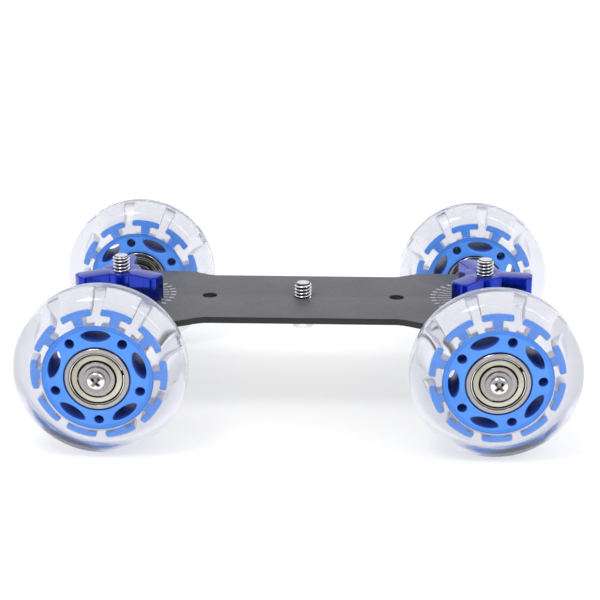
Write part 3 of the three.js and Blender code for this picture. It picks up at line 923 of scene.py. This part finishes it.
def axle_screw():
    """A domed screw with a cross recess, whose inside takes a darker steel, a painted shade."""
    seat = BEARING_FACE_SPACING / 2 + AXLE_WASHER_THICKNESS + 2 * SLIP
    high = seat + HEAD_HEIGHT
    foot = seat - AXLE_SCREW_LENGTH
    rise = HEAD_HEIGHT - HEAD_SIDE
    dome = []
    for angle in (math.radians(degrees) for degrees in HEAD_DOME_DEGREES):
        dome.append((HEAD_RADIUS * math.cos(angle), seat + HEAD_SIDE + rise * math.sin(angle)))
    profile = [
        (0, foot),
        (AXLE_SCREW_RADIUS - AXLE_SCREW_CHAMFER, foot),
        (AXLE_SCREW_RADIUS, foot + AXLE_SCREW_CHAMFER),
        (AXLE_SCREW_RADIUS, seat),
        (HEAD_RADIUS - HEAD_EDGE, seat),
        (HEAD_RADIUS, seat + HEAD_EDGE),
        *dome,
        (0, high),
    ]
    screw = cut(lathe(profile, SMALL_STEPS), cross_recess(high))
    for face in screw.faces:
        centre, radius = centre_and_radius(face)
        share = min(radius / HEAD_RADIUS, 1)
        dome_height = seat + HEAD_SIDE + rise * math.sqrt(1 - share**2)
        if share < RECESS_REACH_SHARE and seat < centre.y < dome_height - RECESS_DEPTH:
            face.material_index = SHADED_RECESS_FACES
    return screw


# Upright screws

def threaded_rod(low, high):
    """A rod along Z with a helical thread, from a flat low end to a chamfered tip."""
    columns, rows_per_turn = BOLT_STEPS, len(THREAD_SHARES)
    root = THREAD_RADIUS - THREAD_DEPTH
    rows = math.ceil((high - low) / THREAD_PITCH * rows_per_turn) + 3 * rows_per_turn
    bm = bmesh.new()
    grid = []
    for column in range(columns):
        climb = column / columns - 2
        line = []
        for row in range(rows):
            z = low + THREAD_PITCH * (row / rows_per_turn + climb)
            z = min(max(z, low), high)
            radius = root + THREAD_DEPTH * THREAD_SHARES[row % rows_per_turn]
            radius = min(radius, root + (z - low), THREAD_RADIUS - TIP_CHAMFER + (high - z) * TIP_SLOPE)
            angle = FULL_TURN * column / columns
            line.append(bm.verts.new((radius * math.cos(angle), radius * math.sin(angle), z)))
        grid.append(line)
    for column in range(columns):
        shift = rows_per_turn if column == columns - 1 else 0
        here, there = grid[column], grid[(column + 1) % columns]
        for row in range(len(here) - 1 - shift):
            bm.faces.new((here[row], there[row + shift], there[row + 1 + shift], here[row + 1]))
    bmesh.ops.remove_doubles(bm, verts=bm.verts, dist=MERGE)
    bmesh.ops.dissolve_degenerate(bm, edges=bm.edges, dist=MERGE)
    bmesh.ops.holes_fill(bm, edges=[e for e in bm.edges if e.is_boundary])
    return clean(bm)


def darken_roots(bm):
    """Gives the bottom of a thread's groove a darker steel: a painted shade."""
    root = THREAD_RADIUS - THREAD_ROOT_SHARE * THREAD_DEPTH
    for face in bm.faces:
        centre = face.calc_center_median()
        if math.hypot(centre.x, centre.y) < root and abs(face.normal.z) < LEVEL:
            face.material_index = SHADED_ROOT_FACES
    return bm


def disc(low, high, radius, edge=0.0):
    """A plain round piece on the Z axis with rounded edges."""
    return prism([circle(radius, SMALL_STEPS)], low, high, edge)


def pivot_bolt(bottom, groove_top, high):
    """A bolt whose bar-shaped head lies in the groove under the axle bar."""
    thread_low = high - BOLT_THREAD_LENGTH
    outline = rounded(rectangle(BOLT_HEAD_LENGTH, GROOVE_WIDTH - 2 * SLIP), BOLT_HEAD_FILLET)
    bolt = prism([outline], bottom, groove_top - SLIP, BOLT_HEAD_EDGE)
    bolt = joined(bolt, disc(bottom + SHANK_OVERLAP, thread_low + BOLT_THREAD_OVERLAP, SHANK_RADIUS))
    return darken_roots(joined(bolt, threaded_rod(thread_low, high)))


def camera_screw(bottom, plate_top, high):
    """A screw through the plate, with a slotted round head under it."""
    head_top = bottom + CAMERA_HEAD_HEIGHT
    slot_length, slot_width, slot_depth = CAMERA_SLOT
    slot = prism([rectangle(slot_length, slot_width)], bottom - OVERRUN, bottom + slot_depth)
    head = cut(disc(bottom, head_top, CAMERA_HEAD_RADIUS, CAMERA_HEAD_EDGE), slot)
    screw = joined(head, disc(head_top - SHANK_OVERLAP, plate_top - CAMERA_SHANK_GAP, SHANK_RADIUS))
    return darken_roots(joined(screw, threaded_rod(plate_top - CAMERA_THREAD_DEPTH, high)))


def hex_nut(low, high):
    """A hexagon whose corners are turned back at both faces."""
    corner = NUT_ACROSS_FLATS / math.sqrt(3)
    hexagon = prism([circle(corner, 6), circle(BOLT_HOLE_RADIUS)], low, high, NUT_EDGE)
    flat = NUT_ACROSS_FLATS / 2 - NUT_FACE_INSET
    reach = corner + NUT_CORNER_REACH
    profile = [
        (0, low), (flat, low), (reach, low + NUT_CORNER_DROP),
        (reach, high - NUT_CORNER_DROP), (flat, high), (0, high),
    ]
    return combined(hexagon, tipped(lathe(profile, RING_STEPS)), "INTERSECT")


def split_washer(low, high):
    """A spring washer: a ring with one slit."""
    slit = math.radians(LOCK_WASHER_SLIT_DEGREES)
    steps = LOCK_WASHER_STEPS
    angles = [slit + (FULL_TURN - 2 * slit) * i / steps for i in range(steps + 1)]
    outline = [(LOCK_WASHER_RADIUS * math.cos(a), LOCK_WASHER_RADIUS * math.sin(a)) for a in angles]
    outline += [(BOLT_HOLE_RADIUS * math.cos(a), BOLT_HOLE_RADIUS * math.sin(a)) for a in reversed(angles)]
    return prism([outline], low, high, WASHER_EDGE)


def flat_washer(low, high, radius):
    return prism([circle(radius, RING_STEPS), circle(BOLT_HOLE_RADIUS)], low, high, WASHER_EDGE)


def knob(low, high):
    """Three square arms with cut tips on a round middle."""
    half_arm, half_tip = KNOB_ARM_WIDTH / 2, KNOB_TIP_WIDTH / 2
    root_angle = math.asin(half_arm / KNOB_HUB_RADIUS)
    root = KNOB_HUB_RADIUS * math.cos(root_angle)
    gap = FULL_TURN / KNOB_ARMS - 2 * root_angle
    shoulder = KNOB_REACH - KNOB_TIP_CHAMFER
    arm_points = [
        (root, -half_arm), (shoulder, -half_arm), (KNOB_REACH, -half_tip),
        (KNOB_REACH, half_tip), (shoulder, half_arm), (root, half_arm),
    ]
    points, fillets = [], []
    for arm in range(KNOB_ARMS):
        turn = Matrix.Rotation(FULL_TURN * arm / KNOB_ARMS, 2)
        points += [tuple(turn @ Vector(p)) for p in arm_points]
        fillets += KNOB_FILLETS
        for i in range(1, KNOB_HUB_STEPS):
            angle = FULL_TURN * arm / KNOB_ARMS + root_angle + gap * i / KNOB_HUB_STEPS
            points.append((KNOB_HUB_RADIUS * math.cos(angle), KNOB_HUB_RADIUS * math.sin(angle)))
            fillets.append(0)
    outline = rounded(points, fillets, KNOB_FILLET_STEPS)
    return prism([outline, circle(BOLT_HOLE_RADIUS)], low, high, KNOB_EDGE)


# Plate and axle bars

def plate_outline(end_x, end_y):
    waist_x = PLATE_WAIST_LENGTH / 2
    waist_y = PLATE_WAIST_WIDTH / 2
    quarter = []
    for i in range(PLATE_SHOULDER_STEPS + 1):
        along = i / PLATE_SHOULDER_STEPS
        rise = (1 - math.cos(math.pi * along)) / 2
        quarter.append((waist_x + PLATE_SHOULDER_LENGTH * along, waist_y + (end_y - waist_y) * rise))
    fillets = [0] * len(quarter) + [PLATE_CORNER_FILLET] * 2
    quarter += [(end_x - PLATE_CORNER_CUT, end_y), (end_x, end_y - PLATE_CORNER_CUT)]
    back = quarter[::-1]
    points = back + [(-x, y) for x, y in quarter] + [(-x, -y) for x, y in back]
    points += [(x, -y) for x, y in quarter]
    return rounded(points, (fillets[::-1] + fillets) * 2)


def plate(low, high, pivots):
    """The base plate, whose faces take a lighter copy of the black, a painted light, and whose sides a
    near-black copy, a painted shade.
    """
    outlines = [plate_outline(high.x, high.y), circle(BOLT_HOLE_RADIUS)]
    for side in (-1, 1):
        outlines.append(circle(ACCESSORY_HOLE_RADIUS, centre=(side * ACCESSORY_HOLE_X, 0)))
    for x in pivots:
        outlines.append(circle(BOLT_HOLE_RADIUS, centre=(x, 0)))
    bm = prism(outlines, low.z, high.z, PLATE_EDGE)
    for face in bm.faces:
        if abs(face.normal.z) < PLATE_SIDE_SLOPE:
            face.material_index = SHADED_SIDE_FACES
    return bm


def angle_scale(pivot_x, plate_top):
    """Fine lines and ticks round a pivot, on the side towards the plate's middle."""
    towards = math.pi if pivot_x > 0 else 0
    bm = bmesh.new()
    count = int(SCALE_REACH_DEGREES / SCALE_STEP_DEGREES)
    for i in range(-count, count + 1):
        turn = towards + math.radians(SCALE_STEP_DEGREES * i)
        for near, far, width in (SCALE_LINES, SCALE_TICKS):
            size = (far - near, width, SCALE_HEIGHT)
            at = Matrix.Translation((pivot_x, 0, plate_top)) @ Matrix.Rotation(turn, 4, "Z")
            at = at @ Matrix.Translation(((near + far) / 2, 0, 0)) @ Matrix.Diagonal((*size, 1))
            bmesh.ops.create_cube(bm, size=1, matrix=at)
    return bm


def axle_bar(half_width, axle_end, middle_z):
    """A square bar with a groove across its underside and a turned axle at each end."""
    half_length, half_groove = BAR_LENGTH / 2, GROOVE_WIDTH / 2
    low, high = middle_z - BAR_HEIGHT / 2, middle_z + BAR_HEIGHT / 2
    roof = low + GROOVE_DEPTH
    outline = [
        (-half_length, low), (-half_groove, low), (-half_groove, roof), (half_groove, roof),
        (half_groove, low), (half_length, low), (half_length, high), (-half_length, high),
    ]
    fillets = [BAR_EDGE, *[BAR_GROOVE_FILLET] * 4, *[BAR_EDGE] * 3]
    bar = prism([rounded(outline, fillets)], -half_width, half_width, BAR_EDGE)
    bar = moved(bar, Matrix(((0, 0, 1, 0), (1, 0, 0, 0), (0, 1, 0, 0), (0, 0, 0, 1))))
    boss_end = axle_end + BOSS_INSET - BEARING_FACE_SPACING
    hole = AXLE_SCREW_RADIUS + SLIP
    hole_end = axle_end - AXLE_HOLE_DEPTH
    profile = [
        (0, BOSS_START), (BOSS_RADIUS, BOSS_START), (BOSS_RADIUS, boss_end), (AXLE_RADIUS, boss_end),
        (AXLE_RADIUS, axle_end), (hole, axle_end), (hole, hole_end), (0, hole_end),
    ]
    for turn in (0, math.pi):
        at = Matrix.Translation((0, 0, middle_z)) @ Matrix.Rotation(turn, 4, "Z")
        bar = joined(bar, moved(lathe(rounded(profile, AXLE_FILLETS), RING_STEPS), at))
    return cut(bar, disc(low - OVERRUN, high + OVERRUN, BOLT_HOLE_RADIUS))


# Putting the pieces in their places

def corners(node):
    low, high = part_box(node)
    return low / MM, high / MM


def middle(node):
    low, high = corners(node)
    return (low + high) / 2


def wheel_pieces():
    """(name, mesh, slot, what it turns with, distance along the axle) for each piece of a wheel."""
    shift = (BEARING_FACE_SPACING - BEARING_WIDTH) / 2
    screw_mesh = mesh_of("axle_screw", axle_screw(), BRIGHT_STEEL, RECESS_PAINTED_SHADE)
    rows = [
        ("tyre", mesh_of("tyre", tyre(), CLEAR, MOULDED), "tyres", "wheel", 0),
        ("hub", mesh_of("hub", hub(), HUB_BLUE, HUB_TEETH_PAINTED_GLOW, HUB_PAINTED_SHADE), "hubs", "wheel", 0),
        ("bearing_spacer", mesh_of("spacer", spacer(), WASHER_STEEL), "spacers", "truck", 0),
        ("axle_washer", mesh_of("axle_washer", axle_washer(), WASHER_STEEL), "washers", "truck", 0),
        ("axle_screw", screw_mesh, "axle_screws", "truck", 0),
    ]
    outer_mesh = mesh_of("outer_ring", outer_ring(), RING_STEEL, SHIELD_STEEL, DEEP_PAINTED_SHADE, BRIGHT_STEEL)
    inner_mesh = mesh_of("inner_ring", inner_ring(), RING_STEEL, GROOVE_PAINTED_SHADE)
    cage_mesh = mesh_of("ball_cage", ball_cage(), BRIGHT_STEEL)
    for seat, side in SEATS.items():
        rows += [
            (seat + "_bearing_outer_ring", outer_mesh, "bearing_outer_rings", "wheel", side * shift),
            (seat + "_bearing_inner_ring", inner_mesh, "bearing_inner_rings", "truck", side * shift),
            (seat + "_bearing_ball_cage", cage_mesh, "ball_cages", "ball_cages", side * shift),
        ]
    return rows


def build_wheels():
    rows = wheel_pieces()
    for side in SIDES:
        for end, direction in ENDS.items():
            wheel = f"{end}_{side}"
            facing_out = Matrix.Rotation(math.pi if direction < 0 else 0, 4, "Z")
            at = Matrix.Translation(middle(wheel + "_tyre") * MM) @ facing_out
            spin = Matrix.Rotation(-direction * math.radians(WHEEL_TURNS[wheel]), 4, "Y")
            for name, mesh, slot, rider, along in rows:
                body = f"{side}_truck" if rider == "truck" else f"{wheel}_{rider}"
                there = at @ Matrix.Translation((0, along * MM, 0))
                piece_mesh = mesh if rider == "truck" else turned(mesh, spin)
                place(f"{wheel}_{name}", piece_mesh, body, there)


def build_trucks():
    bar_low, bar_high = corners("left_axle_bar")
    middle_z = middle("front_left_tyre").z
    bolt_low, bolt_high = corners("left_pivot_bolt")
    washer_low, washer_high = corners("left_knob_washer")
    knob_low, knob_high = corners("left_lock_knob")
    bar = axle_bar((bar_high.x - bar_low.x) / 2, bar_high.y, middle_z)
    bolt = pivot_bolt(bolt_low.z, bolt_low.z + BOLT_HEAD_HEIGHT, bolt_high.z)
    washer = flat_washer(washer_low.z + STACK_GAP, washer_high.z - STACK_GAP, KNOB_WASHER_RADIUS)
    bar_mesh = mesh_of("axle_bar", bar, BAR_BLACK)
    bolt_mesh = mesh_of("pivot_bolt", bolt, BRIGHT_STEEL, GROOVE_PAINTED_SHADE)
    washer_mesh = mesh_of("knob_washer", washer, WASHER_STEEL)
    knob_mesh = mesh_of("lock_knob", knob(knob_low.z, knob_high.z), KNOB_BLUE)
    for side in SIDES:
        at = Matrix.Translation((middle(f"{side}_pivot_bolt").x * MM, 0, 0))
        place(f"{side}_axle_bar", bar_mesh, f"{side}_truck", at)
        place(f"{side}_pivot_bolt", bolt_mesh, f"{side}_truck", at)
        place(f"{side}_knob_washer", washer_mesh, f"{side}_washer", at)
        turn = Matrix.Rotation(math.radians(KNOB_TURNS[side]), 4, "Z")
        place(f"{side}_lock_knob", turned(knob_mesh, turn), f"{side}_knob", at)


def build_base():
    low, high = corners("base_plate")
    pivots = [middle(f"{side}_pivot_bolt").x for side in SIDES]
    plate_mesh = mesh_of("base_plate", plate(low, high, pivots), PLATE_PAINTED_LIGHT, PLATE_SIDE_PAINTED_SHADE)
    place("base_plate", plate_mesh, "base")
    for side, x in zip(SIDES, pivots):
        scale_mesh = mesh_of("angle_scale", angle_scale(x, high.z), SCALE_SILVER)
        new_object(f"{side}_angle_scale", scale_mesh, "base")
    screw_low, screw_high = corners("camera_screw")
    nut_low, nut_high = corners("camera_screw_nut")
    lock_low, lock_high = corners("camera_screw_lock_washer")
    screw = camera_screw(screw_low.z, high.z, screw_high.z)
    nut = hex_nut(nut_low.z, nut_high.z - STACK_GAP)
    lock = split_washer(lock_low.z + STACK_GAP, lock_high.z - STACK_GAP)
    screw_mesh = mesh_of("camera_screw", screw, BRIGHT_STEEL, GROOVE_PAINTED_SHADE)
    place("camera_screw", screw_mesh, "base")
    place("camera_screw_nut", mesh_of("camera_nut", nut, WASHER_STEEL), "base")
    place("camera_screw_lock_washer", mesh_of("lock_washer", lock, WASHER_STEEL), "base")


# Camera, light and floor

def build_camera():
    yaw, pitch, roll = CAMERA_YAW, CAMERA_PITCH, CAMERA_ROLL
    forward = Vector((math.sin(yaw) * math.cos(pitch), math.cos(yaw) * math.cos(pitch), -math.sin(pitch)))
    level = Vector((math.cos(yaw), -math.sin(yaw), 0))
    rise = level.cross(forward)
    right = level * math.cos(roll) + rise * math.sin(roll)
    up = rise * math.cos(roll) - level * math.sin(roll)
    data = bpy.data.cameras.new("camera")
    data.sensor_width = SENSOR
    data.sensor_fit = "HORIZONTAL"
    data.lens = FOCAL_PIXELS / FRAME_PIXELS * SENSOR
    data.shift_x = (FRAME_PIXELS / 2 - CENTRE_PIXEL_X) / FRAME_PIXELS
    data.clip_start = CAMERA_CLIP_START
    camera = bpy.data.objects.new("camera", data)
    bpy.context.scene.collection.objects.link(camera)
    turn = Matrix((right, up, -forward)).transposed().to_4x4()
    camera.matrix_world = Matrix.Translation(Vector(CAMERA_PLACE) * MM) @ turn
    bpy.context.scene.camera = camera


def area_light(name, place_at, size, power):
    data = bpy.data.lights.new(name, "AREA")
    data.shape = "RECTANGLE"
    data.size, data.size_y = size
    data.energy = power
    light = bpy.data.objects.new(name, data)
    bpy.context.scene.collection.objects.link(light)
    light.location = place_at
    light.rotation_euler = (Vector(LIGHT_AIM) - Vector(place_at)).to_track_quat("-Z", "Y").to_euler()


# Where a mix node keeps its two colours and what they make, since other sockets share their names
COLOR_A, COLOR_B, COLOR_RESULT = 6, 7, 2


def build_light():
    """A white surround, which mirrored rays alone see as a soft gradient, and two area lights."""
    world = bpy.data.worlds.new("studio")
    bpy.context.scene.world = world
    world.use_nodes = True
    nodes, links = world.node_tree.nodes, world.node_tree.links
    coordinates = nodes.new("ShaderNodeTexCoord")
    direction = nodes.new("ShaderNodeVectorMath")
    direction.operation = "DOT_PRODUCT"
    direction.inputs[1].default_value = SKY_RISE
    shifted = nodes.new("ShaderNodeMath")
    shifted.inputs[1].default_value = SKY_SHIFT
    ramp = nodes.new("ShaderNodeValToRGB")
    set_stop(ramp, 0, *SKY_DARK)
    set_stop(ramp, 1, *SKY_LIGHT)
    seen = nodes.new("ShaderNodeLightPath")
    mirrored_ray = nodes.new("ShaderNodeMath")
    mirrored_ray.operation = "SUBTRACT"
    mirrored_ray.use_clamp = True
    mixed = nodes.new("ShaderNodeMix")
    mixed.data_type = "RGBA"
    mixed.inputs[COLOR_A].default_value = WHITE
    links.new(coordinates.outputs["Generated"], direction.inputs[0])
    links.new(direction.outputs["Value"], shifted.inputs[0])
    links.new(shifted.outputs["Value"], ramp.inputs["Fac"])
    links.new(seen.outputs["Is Glossy Ray"], mirrored_ray.inputs[0])
    links.new(seen.outputs["Is Transmission Ray"], mirrored_ray.inputs[1])
    links.new(mirrored_ray.outputs["Value"], mixed.inputs["Factor"])
    links.new(ramp.outputs["Color"], mixed.inputs[COLOR_B])
    links.new(mixed.outputs[COLOR_RESULT], nodes["Background"].inputs["Color"])
    area_light("key", **KEY_LIGHT)
    area_light("rim", **RIM_LIGHT)


def build_floor():
    bm = bmesh.new()
    bmesh.ops.create_grid(bm, x_segments=FLOOR_CELLS, y_segments=FLOOR_CELLS, size=FLOOR_REACH)
    mesh = bpy.data.meshes.new("floor")
    bm.to_mesh(mesh)
    bm.free()
    floor = bpy.data.objects.new("floor", mesh)
    bpy.context.scene.collection.objects.link(floor)
    material, shader = new_material("floor", FLOOR_GREY, FLOOR_ROUGHNESS)
    shader.inputs["Emission Color"].default_value = WHITE
    shader.inputs["Emission Strength"].default_value = FLOOR_GLOW
    mesh.materials.append(material)


build_camera()
build_wheels()
build_trucks()
build_base()
build_floor()
build_light()
bpy.context.scene.view_settings.view_transform = "Standard"
